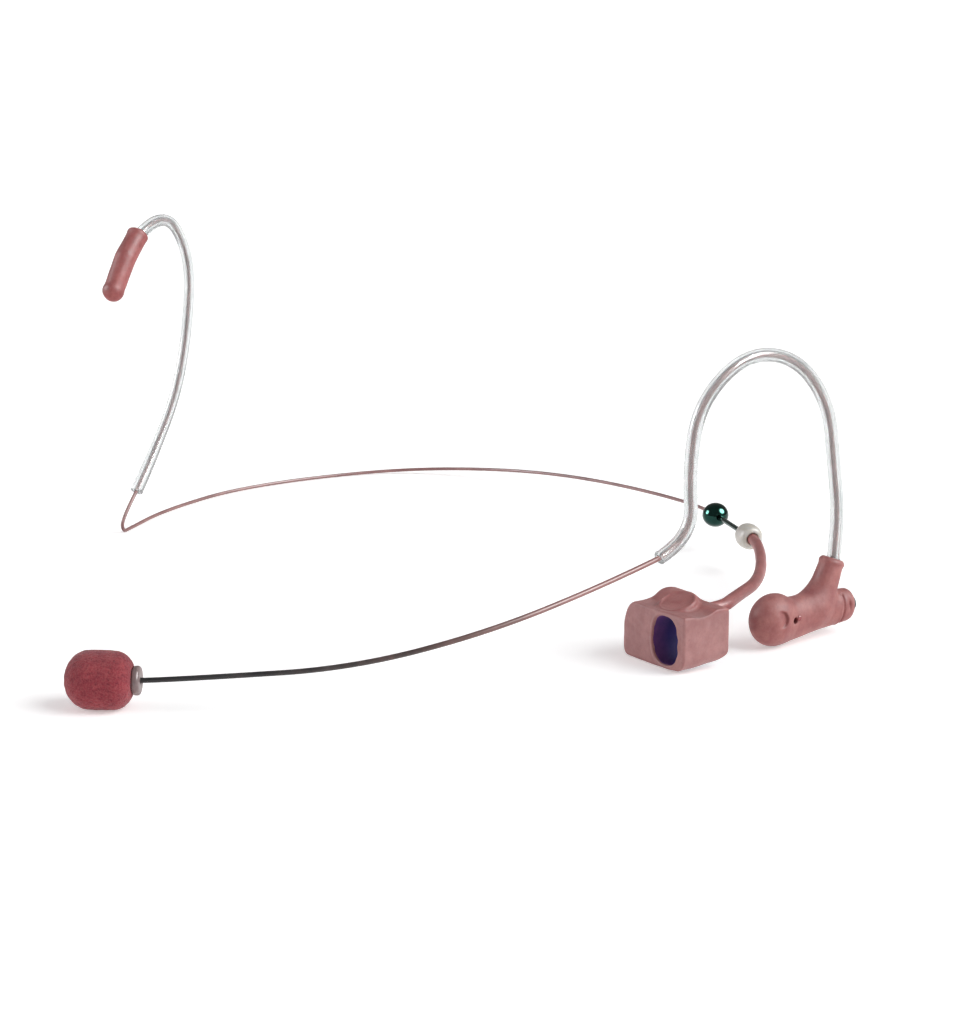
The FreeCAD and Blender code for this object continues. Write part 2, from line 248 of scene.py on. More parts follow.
def spline_points(route, resolution=16):
    """Points along the smooth spline through the route, read from Blender's own curve."""
    curve = bpy.data.curves.new("route", "CURVE")
    curve.dimensions = "3D"
    curve.resolution_u = resolution
    spline = curve.splines.new("NURBS")
    spline.points.add(len(route) - 1)
    for control, point in zip(spline.points, route):
        control.co = (*point, 1)
    spline.order_u = 3
    spline.use_endpoint_u = True
    holder = bpy.data.objects.new("route", curve)
    bpy.context.scene.collection.objects.link(holder)
    bpy.context.view_layer.update()
    mesh = bpy.data.meshes.new_from_object(holder)
    line = np.array([vertex.co for vertex in mesh.vertices], float)
    bpy.data.objects.remove(holder)
    bpy.data.meshes.remove(mesh)
    return line


def spaced(line, gap):
    """The same line with points about gap millimetres apart."""
    lengths = np.linalg.norm(np.diff(line, axis=0), axis=-1)
    reach = np.concatenate([[0], np.cumsum(lengths)])
    marks = np.linspace(0, reach[-1], max(int(reach[-1] / gap), 2) + 1)
    return np.stack([np.interp(marks, reach, line[:, i]) for i in range(3)], -1)


def frames_along(line):
    """Two directions across the line at each point, without twist."""
    tangents = np.gradient(line, axis=0)
    tangents /= np.linalg.norm(tangents, axis=-1, keepdims=True)
    guess = vec(0, 0, 1) if abs(tangents[0][2]) < 0.8 else vec(1, 0, 0)
    across = []
    for tangent in tangents:
        guess = unit(guess - tangent * (guess @ tangent))
        across.append(guess)
    across = np.array(across)
    return across, np.cross(tangents, across)


def ring_faces(rings, sides, closed):
    """Quads between rings of points; the last ring joins the first in a closed one."""
    faces = []
    for ring in range(rings if closed else rings - 1):
        base, after = ring * sides, (ring + 1) % rings * sides
        for side in range(sides):
            beside = (side + 1) % sides
            faces.append((base + side, base + beside, after + beside, after + side))
    if not closed:
        faces.append(tuple(reversed(range(sides))))
        faces.append(tuple(range((rings - 1) * sides, rings * sides)))
    return faces


def swept(line, rings, sides, closed=False):
    """Rings of (index along the line, radius, shift along it), joined into one surface."""
    across, sideways = frames_along(line)
    along = np.cross(across, sideways)
    angles = np.linspace(0, 2 * math.pi, sides, endpoint=False)
    points = []
    for index, radius, shift in rings:
        middle = line[index] + along[index] * shift
        circle = np.outer(np.cos(angles), across[index]) + np.outer(np.sin(angles), sideways[index])
        points.append(middle + circle * radius)
    return np.concatenate(points), ring_faces(len(rings), sides, closed)


def rod_rings(line, radii, end_round=0.3):
    """Rings of a solid rod with softened ends."""
    last = len(line) - 1
    rings = [(0, radii[0] * 0.7, 0.0), (0, radii[0] * 0.93, end_round * 0.3)]
    rings += [(i, radii[i], 0.0) for i in range(1, last)]
    rings += [(last, radii[last] * 0.93, -end_round * 0.3), (last, radii[last] * 0.7, 0.0)]
    return rings


def tube_rings(line, outer, inner):
    """Rings of a hollow tube: out along the outside, back along the inside."""
    last = len(line) - 1
    lip = 0.12
    outside = [(0, outer[0] - lip, 0.0)] + [(i, outer[i], lip if i == 0 else 0.0) for i in range(last)]
    outside += [(last, outer[last], -lip), (last, outer[last] - lip, 0.0)]
    inside = [(i, inner[i], 0.0) for i in range(last, -1, -1)]
    return outside + inside


def softened(profile, rounds=2):
    """Cuts the corners of an outline, keeping its two ends."""
    profile = np.array(profile, float)
    for _ in range(rounds):
        early = profile[:-1] * 0.75 + profile[1:] * 0.25
        late = profile[:-1] * 0.25 + profile[1:] * 0.75
        inner = np.stack([early, late], 1).reshape(-1, profile.shape[1])
        profile = np.concatenate([profile[:1], inner[1:-1], profile[-1:]])
    return profile


def turned(profile, start, axis, sides=96, closed=False):
    """A profile of (distance along the axis, radius) turned about the axis."""
    line = np.stack([start, start + axis])
    rings = [(0, radius, distance) for distance, radius in profile]
    return swept(line, rings, sides, closed)


# ---- putting pieces into the frame -------------------------------------------
BODY_OF = {node: body for body, nodes in frame["record"]["behaviour"]["bodies"].items()
           for node in nodes}
SLOT_OF = {part["node"]: part["material_slot"] for part in frame["record"]["subparts"]}


def make_piece(name, points, faces, material):
    mesh = bpy.data.meshes.new(name)
    mesh.from_pydata(placed(points).tolist(), [], [tuple(int(i) for i in face) for face in faces])
    mesh.validate()
    mesh.shade_smooth()
    mesh.materials.append(material)
    piece = bpy.data.objects.new(name, mesh)
    bpy.context.scene.collection.objects.link(piece)
    return piece


def stand_for(piece, node):
    """The piece takes the place of a CAD node, on the same body."""
    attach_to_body(piece, BODY_OF[node])
    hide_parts(node)
    return piece


# ---- material helpers ----------------------------------------------------------
def new_material(name, **sockets):
    """A Principled material. Sockets are named with _ for spaces."""
    material = bpy.data.materials.new(name)
    material.use_nodes = True
    shader = material.node_tree.nodes["Principled BSDF"]
    for socket, value in sockets.items():
        shader.inputs[socket.replace("_", " ")].default_value = value
    return material


def add_node(material, kind, inputs=(), **settings):
    """A node; each input is a number, a colour or another node's output."""
    tree = material.node_tree
    node = tree.nodes.new("ShaderNode" + kind)
    for setting, value in settings.items():
        setattr(node, setting, value)
    for socket, value in dict(inputs).items():
        if isinstance(value, bpy.types.NodeSocket):
            tree.links.new(value, node.inputs[socket])
        else:
            node.inputs[socket].default_value = value
    return node


def place_of(material):
    return add_node(material, "TexCoord").outputs["Object"]


def noise(material, feature, detail=3.0, rough=0.55, where=None):
    """Noise from 0 to 1 with features of that many millimetres."""
    inputs = {"Vector": where or place_of(material), "Scale": 1000 / feature,
              "Detail": detail, "Roughness": rough}
    return add_node(material, "TexNoise", inputs).outputs["Fac"]


def pores(material, feature, where=None):
    inputs = {"Vector": where or place_of(material), "Scale": 1000 / feature}
    return add_node(material, "TexVoronoi", inputs).outputs["Distance"]


def ramp(material, factor, stops):
    """Colours at positions from 0 to 1."""
    node = add_node(material, "ValToRGB", {"Fac": factor})
    marks = node.color_ramp.elements
    while len(marks) < len(stops):
        marks.new(0.5)
    for mark, (position, colour) in zip(marks, stops):
        mark.position = position
        mark.color = (*colour, 1)
    return node.outputs["Color"]


def grey(material, factor, low, high, start=0.0, end=1.0):
    """A factor stretched to run from low to high."""
    inputs = {"Value": factor, "From Min": start, "From Max": end, "To Min": low, "To Max": high}
    return add_node(material, "MapRange", inputs).outputs["Result"]


def mixed(material, factor, first, second, blend="MIX"):
    node = add_node(material, "Mix", data_type="RGBA", blend_type=blend)
    tree = material.node_tree
    for index, value in ((0, factor), (6, first), (7, second)):
        if isinstance(value, bpy.types.NodeSocket):
            tree.links.new(value, node.inputs[index])
        else:
            node.inputs[index].default_value = value if index == 0 else (*value, 1)
    return node.outputs[2]


def bumped(material, height, depth, below=None):
    """Relief of that many millimetres from a height between 0 and 1."""
    inputs = {"Height": height, "Distance": depth * MM, "Strength": 1.0}
    if below is not None:
        inputs["Normal"] = below
    return add_node(material, "Bump", inputs).outputs["Normal"]


def attach(material, **sockets):
    """Links outputs to the Principled shader."""
    shader = material.node_tree.nodes["Principled BSDF"]
    for socket, output in sockets.items():
        material.node_tree.links.new(output, shader.inputs[socket.replace("_", " ")])
    return material


def shade_mask(material, reach):
    """Mask for painted shade: near 0 in creases and corners, 1 on open surfaces."""
    node = add_node(material, "AmbientOcclusion", {"Distance": reach * MM}, samples=8)
    return node.outputs["AO"]


# ---- finishes -------------------------------------------------------------------
def rose_rubber(name, deep, pale, shift, shine=0.19, fuzz=0.12, gloss=0.0):
    """Matt skin-tone rubber: cloudy, finely grained, with painted shade in the creases, where it is
    darker and redder.
    The shift moves the pattern, so that no two parts look alike."""
    material = new_material(name, Subsurface_Weight=0.10, Subsurface_Scale=0.0006,
                            Subsurface_Radius=(1.0, 0.35, 0.25), Specular_IOR_Level=shine,
                            Sheen_Weight=fuzz, Sheen_Roughness=0.5,
                            Coat_Weight=gloss, Coat_Roughness=0.30)
    shifted = add_node(material, "Mapping", {"Vector": place_of(material),
                                             "Location": (shift, shift * 0.7, 0)}).outputs["Vector"]
    clouds = noise(material, 3.2, 4, 0.6, shifted)
    body = ramp(material, clouds, [(0.30, deep), (0.70, pale)])
    specks = noise(material, 0.55, 2, 0.7, shifted)
    speckled = mixed(material, grey(material, specks, 0, 0.30, 0.50, 0.72), body,
                     [channel * 0.60 for channel in deep])
    bloom = noise(material, 1.1, 3, 0.7, shifted)
    dusty = mixed(material, grey(material, bloom, 0, 0.20, 0.52, 0.72), speckled,
                  [(channel + 0.12) * 0.95 for channel in pale])
    # painted shade: a darker, redder colour mixed in where the ambient occlusion finds creases
    crease_shaded = mixed(material, grey(material, shade_mask(material, 1.2), 0.85, 0, 0.35, 0.95),
                    dusty, [deep[0] * 0.66, deep[1] * 0.34, deep[2] * 0.36])
    rough = grey(material, clouds, 0.46, 0.60, 0.3, 0.7)
    grain = bumped(material, noise(material, 0.28, 3, 0.6, shifted), 0.04)
    dents = bumped(material, noise(material, 1.9, 2, 0.5, shifted), 0.07, grain)
    return attach(material, Base_Color=crease_shaded, Roughness=rough, Normal=dents)


def shade_top_redder(material, height, depth, tint):
    """Painted shade: tints what the shader shows above a height in millimetres, redder and darker on
    top.
    """
    socket = material.node_tree.nodes["Principled BSDF"].inputs["Base Color"]
    below = socket.links[0].from_socket
    level = add_node(material, "SeparateXYZ", {"Vector": place_of(material)}).outputs["Z"]
    share = grey(material, level, 0, 1, height * MM, (height + depth) * MM)
    return attach(material, Base_Color=mixed(material, share, below, tint, "MULTIPLY"))


def clear_tube():
    """Milky silicone, a little cloudy."""
    material = new_material("clear_tube", Transmission_Weight=0.86, IOR=1.36,
                            Specular_IOR_Level=0.5)
    haze = noise(material, 2.5, 3, 0.5)
    tint = ramp(material, haze, [(0.35, (0.76, 0.79, 0.79)), (0.7, (0.85, 0.86, 0.86))])
    return attach(material, Base_Color=tint, Roughness=grey(material, haze, 0.10, 0.18, 0.3, 0.7))


BLACK_COAT = (0.012, 0.012, 0.013)
BROWN_COAT = (0.15, 0.078, 0.070)
PINK_COAT = (0.30, 0.140, 0.130)


def boom_coat():
    """Lacquer that goes from black at the capsule to dusty pink at the ear."""
    material = new_material("boom_coat", Specular_IOR_Level=0.5)
    along = add_node(material, "SeparateXYZ", {"Vector": place_of(material)}).outputs["Y"]
    capsule_y = DATUM[1] + MIC_START[1] * MM
    mouth_y = DATUM[1] + BOOM[0][1] * MM
    share = grey(material, along, 0, 1, capsule_y, mouth_y)
    uneven = noise(material, 5, 3, 0.6)
    worn = add_node(material, "Math", {0: share, 1: grey(material, uneven, -0.08, 0.08, 0.3, 0.7)})
    colour = ramp(material, worn.outputs[0], [(0.16, BLACK_COAT), (0.34, (0.045, 0.034, 0.032)),
                                              (0.55, BROWN_COAT), (0.80, PINK_COAT)])
    flecks = noise(material, 0.6, 3, 0.7)
    chipped = mixed(material, grey(material, flecks, 0, 0.35, 0.55, 0.75), colour, (0.10, 0.06, 0.055))
    return attach(material, Base_Color=chipped, Roughness=grey(material, uneven, 0.30, 0.46, 0.3, 0.7),
                  Normal=bumped(material, flecks, 0.02))


def band_coat():
    """Thin dusty pink lacquer on spring wire."""
    material = new_material("band_coat", Specular_IOR_Level=0.5)
    clouds = noise(material, 6, 4, 0.6)
    body = ramp(material, clouds, [(0.3, (0.20, 0.092, 0.090)), (0.7, (0.31, 0.160, 0.150))])
    flecks = noise(material, 0.5, 3, 0.7)
    worn = mixed(material, grey(material, flecks, 0, 0.4, 0.56, 0.76), body, (0.12, 0.075, 0.07))
    return attach(material, Base_Color=worn, Roughness=grey(material, clouds, 0.32, 0.5, 0.3, 0.7),
                  Normal=bumped(material, flecks, 0.015))


def foam_material():
    """Open-cell foam: fine cells, fuzzy at the edges."""
    material = new_material("foam", Specular_IOR_Level=0.12, Sheen_Weight=0.22,
                            Sheen_Roughness=0.45, Roughness=0.95)
    fine = pores(material, 0.34)
    coarse = noise(material, 0.60, 4, 0.75)
    clouds = noise(material, 2.2, 4, 0.65)
    body = ramp(material, clouds, [(0.32, (0.205, 0.022, 0.036)), (0.68, (0.330, 0.050, 0.060))])
    ribs = mixed(material, grey(material, fine, 0.0, 0.30, 0.30, 0.70), body, (0.42, 0.12, 0.12))
    cells = mixed(material, grey(material, coarse, 0.55, 0.0, 0.36, 0.52), ribs, (0.105, 0.012, 0.024))
    relief = bumped(material, fine, 0.10)
    return attach(material, Base_Color=cells, Normal=bumped(material, coarse, 0.14, relief))


def milky_plastic():
    material = new_material("milky_plastic", Subsurface_Weight=0.5, Subsurface_Scale=0.0012,
                            Subsurface_Radius=(1.0, 0.8, 0.8), Roughness=0.34,
                            Transmission_Weight=0.25, IOR=1.45)
    clouds = noise(material, 1.4, 3, 0.6)
    body = ramp(material, clouds, [(0.3, (0.22, 0.155, 0.155)), (0.7, (0.34, 0.25, 0.245))])
    return attach(material, Base_Color=body, Roughness=grey(material, clouds, 0.28, 0.45, 0.3, 0.7),
                  Normal=bumped(material, noise(material, 0.4, 2, 0.5), 0.02))


def ivory_plastic():
    material = new_material("ivory_plastic", Subsurface_Weight=0.3, Subsurface_Scale=0.001,
                            Subsurface_Radius=(1.0, 0.8, 0.6))
    clouds = noise(material, 1.8, 3, 0.6)
    body = ramp(material, clouds, [(0.3, (0.50, 0.48, 0.43)), (0.7, (0.61, 0.585, 0.54))])
    # painted shade: brownish darkening in the corners, from the ambient occlusion
    corner_shaded = mixed(material, grey(material, shade_mask(material, 0.8), 0.6, 0, 0.4, 0.95), body,
                  (0.25, 0.20, 0.16))
    return attach(material, Base_Color=corner_shaded, Roughness=grey(material, clouds, 0.34, 0.5, 0.3, 0.7),
                  Normal=bumped(material, noise(material, 0.5, 3, 0.5), 0.03))


def navy_liner():
    """Painted light: dull purple at the slot's mouth, where light reaches in, navy further in."""
    material = new_material("navy_liner", Specular_IOR_Level=0.14)
    clouds = noise(material, 2.2, 3, 0.6)
    navy = ramp(material, clouds, [(0.3, (0.020, 0.016, 0.115)), (0.7, (0.046, 0.024, 0.145))])
    # painted light: lighter purple near the mouth, fading to the navy deeper in
    mouth_lit_purple = ramp(material, clouds, [(0.3, (0.105, 0.036, 0.150)), (0.7, (0.170, 0.058, 0.180))])
    inward = add_node(material, "SeparateXYZ", {"Vector": place_of(material)}).outputs["Y"]
    mouth_y = DATUM[1] + BLOCK_FRONT * MM
    share = grey(material, inward, 0, 1, mouth_y, mouth_y + 4.5 * MM)
    body = mixed(material, share, mouth_lit_purple, navy)
    return attach(material, Base_Color=body, Roughness=grey(material, clouds, 0.6, 0.8, 0.3, 0.7),
                  Normal=bumped(material, noise(material, 0.5, 3, 0.5), 0.05))


def green_gloss():
    """Dark green mirror lacquer."""
    material = new_material("green_gloss", Metallic=0.97, Coat_Weight=0.35, Coat_Roughness=0.05,
                            Coat_IOR=1.5)
    clouds = noise(material, 1.6, 3, 0.6)
    body = ramp(material, clouds, [(0.3, (0.001, 0.030, 0.022)), (0.7, (0.002, 0.046, 0.034))])
    return attach(material, Base_Color=body, Roughness=grey(material, clouds, 0.07, 0.13, 0.3, 0.7),
                  Normal=bumped(material, noise(material, 1.2, 2, 0.5), 0.006))


def plain_metal(name, dark, light):
    material = new_material(name, Metallic=1.0)
    streaks = noise(material, 0.35, 4, 0.7)
    body = ramp(material, streaks, [(0.3, dark), (0.7, light)])
    return attach(material, Base_Color=body, Roughness=grey(material, streaks, 0.22, 0.42, 0.3, 0.7),
                  Normal=bumped(material, streaks, 0.01))


def circuit_board():
    material = new_material("circuit_board", Specular_IOR_Level=0.5)
    weave = noise(material, 0.3, 2, 0.5)
    body = ramp(material, weave, [(0.35, (0.008, 0.07, 0.03)), (0.65, (0.02, 0.12, 0.05))])
    tracks = mixed(material, grey(material, pores(material, 0.9), 0, 0.8, 0.62, 0.66), body,
                   (0.45, 0.32, 0.12))
    return attach(material, Base_Color=tracks, Roughness=grey(material, weave, 0.3, 0.5, 0.3, 0.7),
                  Normal=bumped(material, weave, 0.02))


def black_rubber():
    material = new_material("black_rubber", Specular_IOR_Level=0.35)
    grain = noise(material, 0.3, 3, 0.6)
    body = ramp(material, grain, [(0.3, (0.012, 0.012, 0.012)), (0.7, (0.035, 0.034, 0.033))])
    return attach(material, Base_Color=body, Roughness=grey(material, grain, 0.5, 0.75, 0.3, 0.7),
                  Normal=bumped(material, grain, 0.03))


def hole_shade_red():
    # dark red for the dot that paints the shade inside the marker hole
    material = new_material("hole_shade_red", Roughness=0.4)
    clouds = noise(material, 0.3, 2, 0.5)
    body = ramp(material, clouds, [(0.3, (0.24, 0.045, 0.050)), (0.7, (0.34, 0.08, 0.08))])
    return attach(material, Base_Color=body)


MOULDED = rose_rubber("rose_rubber", (0.275, 0.085, 0.085), (0.405, 0.157, 0.143), shift=0.0)
BLOCK_PAINT = rose_rubber("rose_rubber_block", (0.305, 0.135, 0.132), (0.400, 0.196, 0.187),
                          shift=0.31)
# painted shade: the block's top tinted redder and darker
shade_top_redder(BLOCK_PAINT, height=12.1, depth=0.8, tint=(1.0, 0.76, 0.75))
CAP_PAINT = rose_rubber("rose_rubber_cap", (0.255, 0.056, 0.055), (0.375, 0.106, 0.100),
                        shift=0.57, shine=0.3, fuzz=0.06)
HOSE_PAINT = rose_rubber("rose_rubber_hose", (0.270, 0.066, 0.064), (0.40, 0.125, 0.118),
                         shift=0.83, shine=0.4, fuzz=0.0, gloss=0.35)
FINISHES = {
    "clear_tube": clear_tube(),
    "boom_coat": boom_coat(),
    "band_coat": band_coat(),
    "foam": foam_material(),
    "milky_plastic": milky_plastic(),
    "ivory_plastic": ivory_plastic(),
    "navy_liner": navy_liner(),
    "green_gloss": green_gloss(),
    "steel": plain_metal("steel", (0.42, 0.42, 0.43), (0.66, 0.66, 0.66)),
    "brass": plain_metal("brass", (0.50, 0.36, 0.14), (0.78, 0.60, 0.30)),
    "circuit_board": circuit_board(),
    "black_rubber": black_rubber(),
    "rose_rubber": MOULDED,
}


# ---- near unit: junction moulding -------------------------------------------------
BULB_MIDDLE, BULB_R = (0, 0.30, 6.10), 5.78
WAIST_START, WAIST_START_R = (0, 3.0, 5.45), 4.85
WAIST_END, WAIST_END_R = (0, 10.0, 6.0), 4.4
BOSS_TIP, BOSS_TIP_R = (0, 20.4, 6.15), 3.7
NECK_AXIS = unit(vec(0, 4.3, 10.6))
NECK_RIM = vec(0, 17.1, 17.2)
TUBE_DOWN = unit(vec(*NEAR_HOOK[-1]) - vec(*NEAR_HOOK[-2]))
MARKER_HOLE, MARKER_HOLE_R = (3.45, 6.2), 0.72      # Y and Z on the outer side
# painted shade: this dot stands for the shade on the marker hole's right inner wall
HOLE_SHADE_DOT = (4.70, 6.5)
GROOVE_Y = 18.5
GROOVE_TOP = 9.8
SLIT_Y = 20.3
DETENT_Y, DETENT_Z, DETENT_R = -0.75, 7.1, 2.0


def moulding_shank(p):
    """Bulb, waist and boss, thinner from ear to head than they are tall."""
    squeezed = p * vec(1 / FLATTENING, 1, 1)
    bulb = ball(squeezed, BULB_MIDDLE, BULB_R)
    waist = taper(squeezed, WAIST_START, WAIST_END, WAIST_START_R, WAIST_END_R)
    boss = taper(squeezed, WAIST_END, BOSS_TIP, WAIST_END_R, BOSS_TIP_R)
    shank = blend_min(np.minimum(waist, boss), bulb, 0.8)
    return blend_max(shank, p[..., 1] - BOSS_END, 2.2)


def moulding_marks(p, shank):
    """Groove round the boss, a slit, the shallow round detent and the marker hole."""
    x, y, z = p[..., 0], p[..., 1], p[..., 2]
    outer_side = step(x, 0.5, 1.5)
    groove_y = GROOVE_Y + 0.06 * (z - AXIS_Z)
    below_neck = step(GROOVE_TOP - z, 0, 1.2)
    groove = 0.42 * hump(y - groove_y, 0.30) * below_neck
    bead = -0.12 * hump(y - groove_y + 0.75, 0.35) * below_neck
    slit = 0.55 * hump(y - SLIT_Y, 0.34) * hump(z - 6.8, 1.15) * outer_side
    across = np.hypot(y - DETENT_Y, z - DETENT_Z)
    detent = 0.90 * step(DETENT_R - across, 0, 0.5) * step(y - DETENT_Y, -1.0, 1.7) * outer_side
    return shank + groove + bead + slit + detent


def moulding_field(p):
    y, z = p[..., 1], p[..., 2]
    shank = moulding_marks(p, moulding_shank(p))
    squeezed = p * vec(1 / 0.92, 1, 1)
    neck = taper(squeezed, NECK_RIM - NECK_AXIS * 10.5, NECK_RIM, 3.5, 2.65)
    rim = -0.24 * hump((p - NECK_RIM) @ NECK_AXIS + 0.9, 0.55)
    neck = blend_max(neck + rim, beyond(p, NECK_RIM, NECK_AXIS), 0.7)
    lean = step(14.6 + 0.35 * (z - AXIS_Z) - y, -1.5, 3.5)
    body = blend_min(shank, neck, 0.9 + 3.0 * lean)
    tube_hole = bore(p, NEAR_HOOK[-1], TUBE_DOWN, TUBE_R + 0.06)
    tube_hole = np.maximum(tube_hole, beyond(p, NECK_RIM - NECK_AXIS * 3.5, -NECK_AXIS))
    marker = np.maximum(bore(p, (0, *MARKER_HOLE), (1, 0, 0), MARKER_HOLE_R), 2.4 - p[..., 0])
    inlet = np.maximum(bore(p, (0, 0, AXIS_Z), (0, 1, 0), 1.72), 17.4 - y)
    for hole, round_off in ((tube_hole, 0.25), (marker, 0.2), (inlet, 0.3)):
        body = blend_max(body, -hole, round_off)
    return body + 0.05 * ripple(p, 3.5, 1)


def build_moulding():
    points, quads = skin(moulding_field, (-5.6, -6.6, -0.5), (5.6, 24.0, 19.2), 0.2)
    piece = make_piece("junction_moulding_finish", points, quads, MOULDED)
    return stand_for(piece, "junction_moulding")


def build_hole_shade_dot():
    """Raised dark red dot beside the marker hole, as painted shade on the hole's right inner wall."""
    profile = softened([(0.22, 0), (0.22, 0.5), (-0.1, 0.72), (-1.4, 0.72)])
    start = settle(moulding_field, vec(3.5, *HOLE_SHADE_DOT)[None], 1.0)[0]
    points, faces = turned(profile, start, vec(1, 0, 0), 32)
    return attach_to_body(make_piece("hole_shade_dot", points, faces, hole_shade_red()), "mic_unit")


# ---- ear tubes and wires -------------------------------------------------------------
def build_tube(name, node, route, bore_r, flare):
    """A clear tube, thicker by flare towards its two ends."""
    line = spaced(spline_points(route), 0.6)
    share = np.linspace(0, 1, len(line))
    ends = step(0.22 - share, 0, 0.22) + step(share - 0.72, 0, 0.2)
    outer = TUBE_R + flare * (ends - 0.5) + 0.02 * ripple(line, 9, 4)
    inner = np.full(len(line), bore_r)
    points, faces = swept(line, tube_rings(line, outer, inner), 40, closed=True)
    return stand_for(make_piece(name, points, faces, FINISHES["clear_tube"]), node)


def build_near_wire():
    line = spline_points(NEAR_HOOK)
    line = spaced(np.concatenate([line, [line[-1] + TUBE_DOWN * 2.2]]), 0.6)
    points, faces = swept(line, rod_rings(line, np.full(len(line), BOOM_R)), 24)
    return stand_for(make_piece("ear_wire_near_finish", points, faces, FINISHES["boom_coat"]),
                     "ear_wire_near")


def build_boom():
    """From just inside the tube's mouth, so that it bends there without a gap."""
    mouth = vec(*BOOM[0])
    route = [mouth + unit(mouth - vec(*BOOM[1])) * 0.6] + [vec(*p) for p in BOOM[1:]]
    route.append(MIC_START + MIC_AXIS * 2.7)
    line = spaced(spline_points(route), 0.7)
    points, faces = swept(line, rod_rings(line, np.full(len(line), BOOM_R)), 24)
    piece = make_piece("boom_wire_finish", points, faces, FINISHES["boom_coat"])
    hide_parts("boom_wire")
    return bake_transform(piece)


def band_start():
    leaving = unit(vec(*BAND[0]) - BALL_MIDDLE)
    return BALL_MIDDLE + leaving * 1.2


def build_band():
    route = [band_start()] + [vec(*p) for p in BAND]
    hook = spline_points(FAR_HOOK)
    hook = np.concatenate([hook, [hook[-1] + unit(hook[-1] - hook[-2]) * 1.4]])
    line = spaced(np.concatenate([spline_points(route, 24)[:-1], hook]), 0.4)
    points, faces = swept(line, rod_rings(line, np.full(len(line), BAND_R)), 20)
    piece = make_piece("band_wire_finish", points, faces, FINISHES["band_coat"])
    return stand_for(piece, "band_wire")


# ---- boom end: collar and foam ----------------------------------------------------------
def build_mic_collar():
    """Translucent disc, close against the foam."""
    outline = [(0.55, 0.60), (0.35, 0.75), (0.32, 2.05), (0.42, 2.65), (0.75, 2.95), (1.25, 2.98),
               (1.78, 2.90), (1.80, 2.3), (1.80, 0.60)]
    profile = softened(outline + outline[:1], 2)
    points, faces = turned(profile, MIC_START, MIC_AXIS, 96, closed=True)
    return stand_for(make_piece("windscreen_collar_finish", points, faces, FINISHES["milky_plastic"]),
                     "windscreen_collar")


FOAM_START = 1.84              # foam's mouth, from the boom's end
FOAM_LENGTH = 13.7
FOAM_R = 5.95
CAPSULE_HOLE_R, CAPSULE_HOLE_END = 2.32, 7.6


def foam_frame(p):
    """Distance along the foam from its mouth, and from its axis."""
    offset = p - (MIC_START + MIC_AXIS * FOAM_START)
    along = offset @ MIC_AXIS
    aside = np.linalg.norm(offset - along[..., None] * MIC_AXIS, axis=-1)
    return along, aside


def foam_field(p):
    """Barrel with rounder shoulders at its far end, and a blind hole for the capsule."""
    along, aside = foam_frame(p)
    radius = FOAM_R - 0.012 * (along - FOAM_LENGTH / 2) ** 2
    shoulder = 3.4 + 1.4 * step(along, 3, 10)
    past_end = np.abs(along - FOAM_LENGTH / 2) - FOAM_LENGTH / 2 + shoulder
    past_side = aside - radius + shoulder
    barrel = np.hypot(np.maximum(past_end, 0), np.maximum(past_side, 0)) - shoulder
    barrel = barrel + np.minimum(np.maximum(past_end, past_side), 0)
    hole = np.maximum(aside - CAPSULE_HOLE_R, along - CAPSULE_HOLE_END)
    barrel = blend_max(barrel, -hole, 0.4)
    rough = 0.035 * ripple(p, 1.0, 11) + 0.025 * ripple(p, 0.5, 12)
    return barrel + rough + 0.07 * ripple(p, 4.0, 13)


def build_foam():
    middle = MIC_START + MIC_AXIS * 8.7
    reach = vec(9.2, 9.2, 6.6)
    points, quads = skin(foam_field, middle - reach, middle + reach, 0.17)
    piece = make_piece("foam_windscreen_finish", points, quads, FINISHES["foam"])
    stand_for(piece, "foam_windscreen")
    return piece


# ---- clip: block, liner, hose, collar -----------------------------------------------------
FACET_MIDDLE = vec(-2.6, -24.1, 13.4)
FACET_UP = unit(vec(0.01, -0.336, 0.942))
FACET_R = 3.8
SCOOP_R = 8.2
SCOOP_BOTTOM = vec(BLOCK_RIGHT, -24.2, 12.15)
HOSE_HOLE_R = 1.5
LINER_GAP = 0.04
LINER_HALF = 0.08              # half of the liner's thickness


def slot_field(p, grow):
    """Rounded upright slot along Y, in millimetres from its wall. Its front lip is smaller."""
    inner = step(p[..., 1] - BLOCK_FRONT, 0.8, 2.3)
    half_x = 4.15 + 0.45 * inner + grow
    half_z = 5.20 + 0.73 * inner + grow
    middle_x = -0.30 * (1 - inner)
    middle_z = 6.50 - 0.40 * inner
    wave = 0.10 * np.sin(2.3 * p[..., 2]) * step(p[..., 0], 2.0, 3.8) * (1 - inner)
    sides = np.abs((p[..., 0] + wave - middle_x) / half_x)
    ends = np.abs((p[..., 2] - middle_z) / half_z)
    power = 2.5 - 0.5 * inner
    scaled = (sides ** power + ends ** power) ** (1 / power)
    return (scaled - 1) * half_x


def block_body(p):
    """The block without its top relief: left end leaning in, back edges well rounded."""
    x, y, z = p[..., 0], p[..., 1], p[..., 2]
    top = 12.45 + 0.5 * step(y, -27, -20) + 0.35 * step(x, -6, 3)
    lean = 0.078 * np.maximum(z - 3.5, 0) ** 1.8 * step(-4 - x, 0, 8)
    level = z - top + 12.4
    front = plate(x - lean, level, (BLOCK_LEFT, 0), (BLOCK_RIGHT, 12.4), (3.8, 3.4, 1.2, 0.9))
    side = plate(y, level, (BLOCK_FRONT, 0), (BLOCK_BACK, 12.4), (0.6, 4.6, 0.6, 2.0))
    above = plate(x, y, (BLOCK_LEFT, BLOCK_FRONT), (BLOCK_RIGHT, BLOCK_BACK), (2.6, 0.7, 2.6, 1.2))
    return blend_max(blend_max(front, side, 0.5), above, 0.5)


